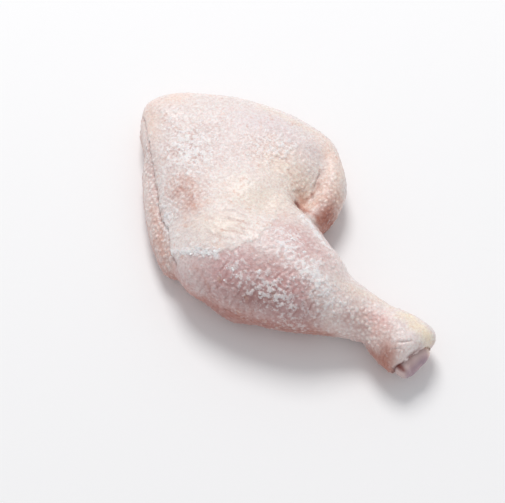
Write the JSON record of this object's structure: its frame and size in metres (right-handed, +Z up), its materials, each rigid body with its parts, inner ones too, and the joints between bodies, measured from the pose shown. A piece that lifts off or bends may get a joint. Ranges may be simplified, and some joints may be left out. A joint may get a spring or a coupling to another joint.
{
  "type": "raw chicken leg quarter",
  "caption": "Raw, lightly frosted chicken leg quarter, thigh and drumstick in one, lying flat with the skin side up and pale cartilage showing at the cut ankle.",
  "frame": {"origin": "under the middle of the leg's box, on the surface that it lies on", "axes": "+X along the drumstick from knee to cut ankle, +Y towards the hip edge of the thigh, +Z up out of the skin side"},
  "size_m": [0.1996, 0.1222, 0.0446],
  "materials": {
    "skin": "moist, goosebumped and frosted",
    "cartilage": "smooth and wet"
  },
  "bodies": {
    "root": {"leg_flesh": "skin", "leg_bone": "cartilage"}
  },
  "joints": []
}
